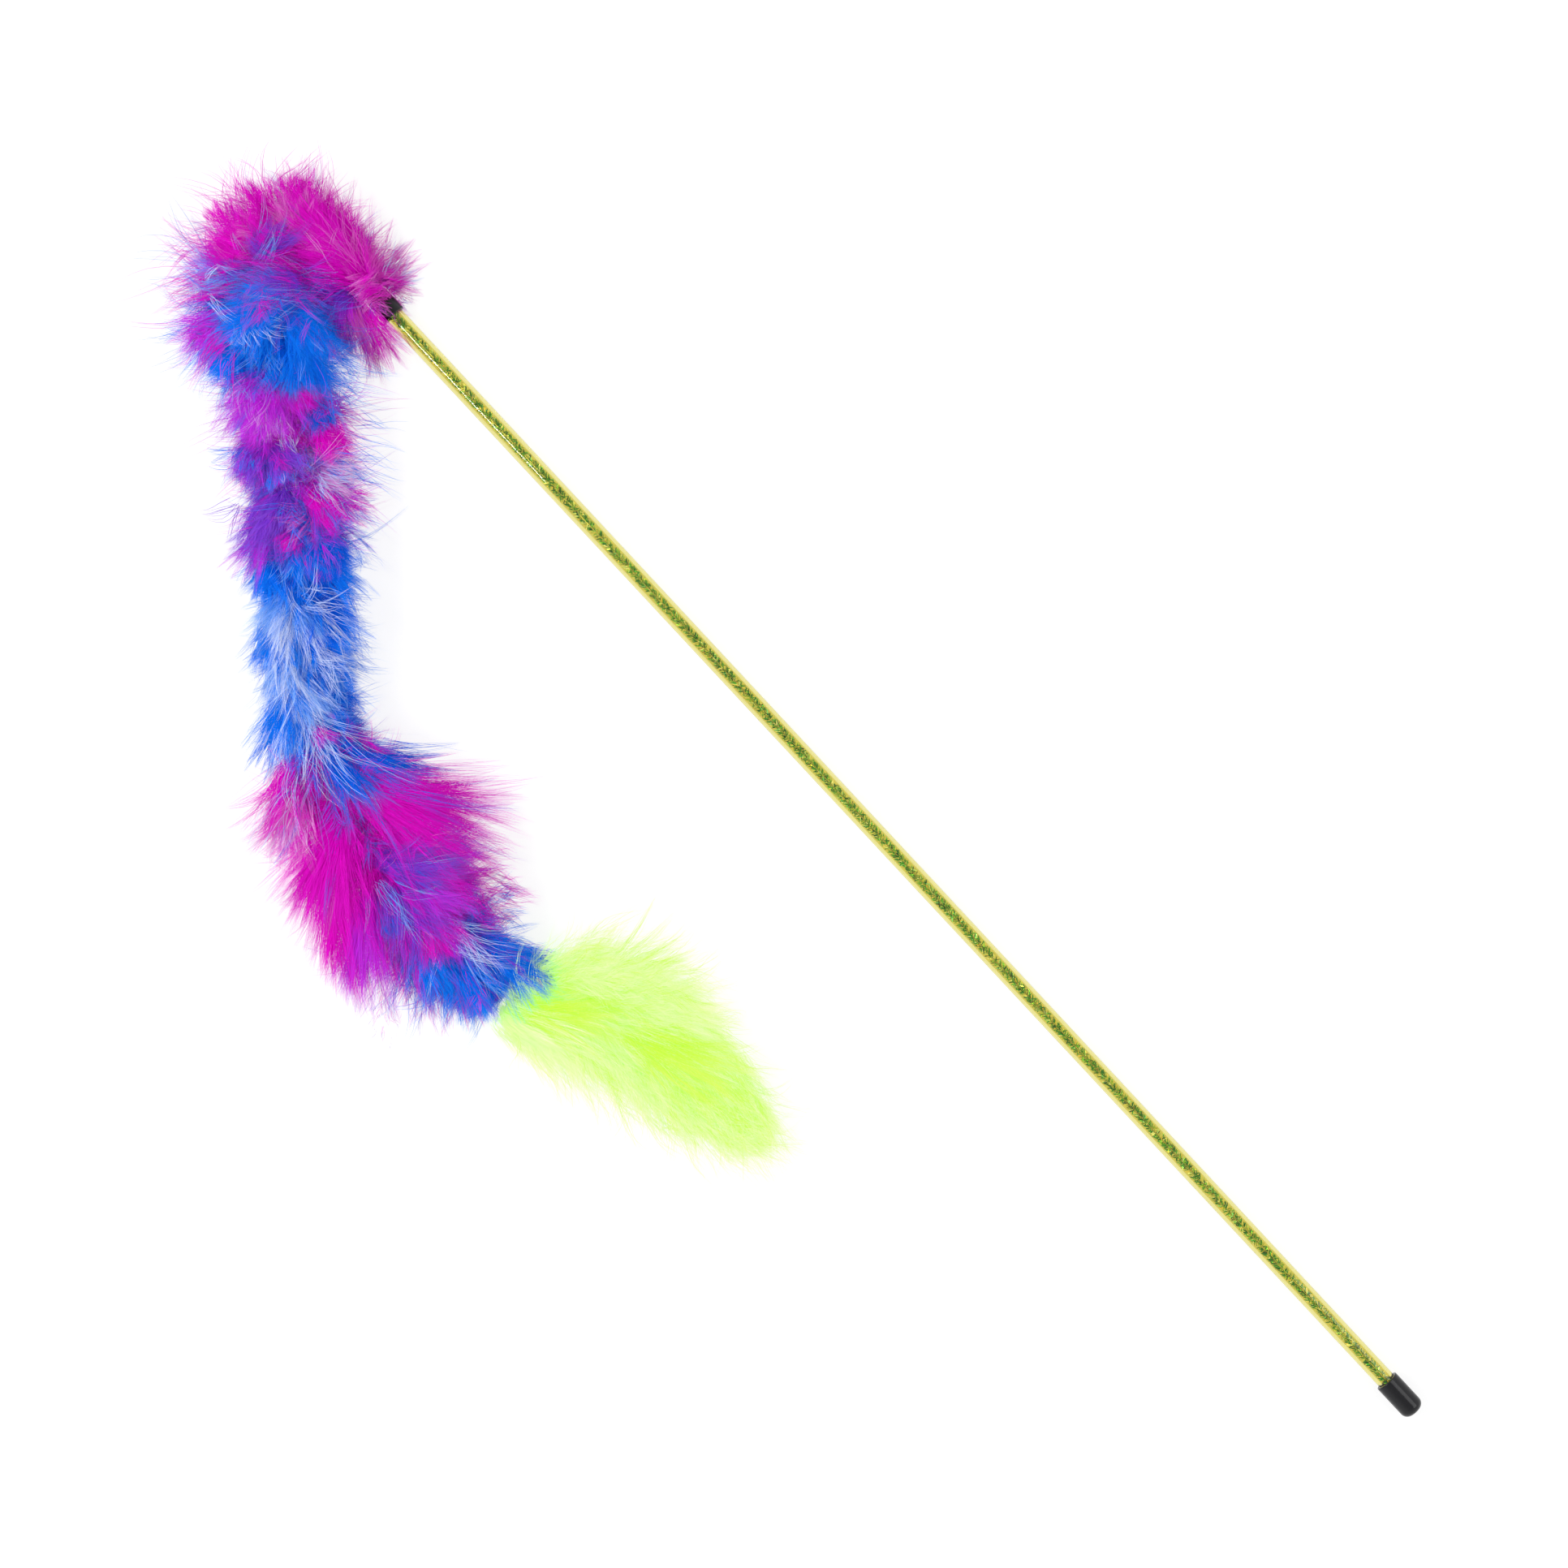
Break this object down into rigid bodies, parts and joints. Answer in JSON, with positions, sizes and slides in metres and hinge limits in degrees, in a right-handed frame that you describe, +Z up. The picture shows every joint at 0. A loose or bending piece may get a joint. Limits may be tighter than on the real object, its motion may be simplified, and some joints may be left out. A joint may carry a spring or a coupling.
{
  "type": "cat teaser wand",
  "caption": "Cat teaser wand: a clear plastic tube with tinsel inside and a soft cap on each end, with a multicoloured feather boa that hangs from the tip on a cord.",
  "frame": {"origin": "on the rod's axis, at the plane where the handle cap's straight wall ends and its rounded nose begins", "axes": "+X along the rod from the handle to the tip, +Z up with the wand lying flat, +Y toward the side that the boa lies on"},
  "size_m": [0.5717, 0.1789, 0.0418],
  "materials": {
    "clear_tube": "gloss",
    "black_vinyl": "gloss",
    "green_foil": "polished",
    "wire": "satin",
    "cord": "matte",
    "thread": "matte",
    "quill": "satin",
    "magenta_feather": "matte",
    "blue_feather": "matte",
    "orchid_feather": "matte",
    "sky_feather": "matte",
    "rose_feather": "matte",
    "violet_feather": "matte",
    "neon_feather": "matte"
  },
  "bodies": {
    "wand": {"rod_tube": "clear_tube", "handle_cap": "black_vinyl", "tip_cap": "black_vinyl", "tinsel_foil": "green_foil", "tinsel_wire": "wire", "cord_knot": "cord"},
    "leader": {"cord_leader": "cord"},
    "magenta": {"magenta_plume": "magenta_feather", "magenta_cord": "cord", "magenta_whipping": "thread"},
    "blue": {"blue_plume": "blue_feather", "blue_cord": "cord", "blue_whipping": "thread"},
    "orchid": {"orchid_plume": "orchid_feather", "orchid_cord": "cord", "orchid_whipping": "thread"},
    "sky": {"sky_plume": "sky_feather", "sky_cord": "cord", "sky_whipping": "thread"},
    "rose": {"rose_plume": "rose_feather", "rose_cord": "cord", "rose_whipping": "thread"},
    "violet": {"violet_plume": "violet_feather", "violet_cord": "cord", "violet_whipping": "thread"},
    "neon": {"neon_plume": "neon_feather", "neon_quills": "quill", "neon_whipping": "thread"}
  },
  "joints": [
    {"name": "leader_swing", "type": "hinge", "parent": "wand", "child": "leader", "pos_m": [0.5078, 0, 0], "axis": [0, 0, -1], "range_deg": [-10, 60]},
    {"name": "magenta_nod", "type": "hinge", "parent": "leader", "child": "magenta", "pos_m": [0.513, 0, 0], "axis": [0, 1, 0], "range_deg": [-45, 45]},
    {"name": "blue_swing", "type": "hinge", "parent": "magenta", "child": "blue", "pos_m": [0.53464, 0.02491, 0.00901], "axis": [0, 0, -1], "range_deg": [-10, 60]},
    {"name": "orchid_nod", "type": "hinge", "parent": "blue", "child": "orchid", "pos_m": [0.50462, 0.04532, 0.00901], "axis": [0.5621, 0.8271, 0], "range_deg": [-30, 30]},
    {"name": "sky_swing", "type": "hinge", "parent": "orchid", "child": "sky", "pos_m": [0.46161, 0.07455, 0.00901], "axis": [0, 0, -1], "range_deg": [-10, 30]},
    {"name": "rose_nod", "type": "hinge", "parent": "sky", "child": "rose", "pos_m": [0.41465, 0.1119, 0.00901], "axis": [-0.2284, -0.9736, 0], "range_deg": [-30, 30]},
    {"name": "violet_swing", "type": "hinge", "parent": "rose", "child": "violet", "pos_m": [0.35916, 0.12491, 0.00901], "axis": [0, 0, -1], "range_deg": [-20, 30]},
    {"name": "neon_nod", "type": "hinge", "parent": "violet", "child": "neon", "pos_m": [0.30619, 0.12667, 0.00901], "axis": [-0.4242, 0.9056, 0], "range_deg": [-30, 30]}
  ]
}
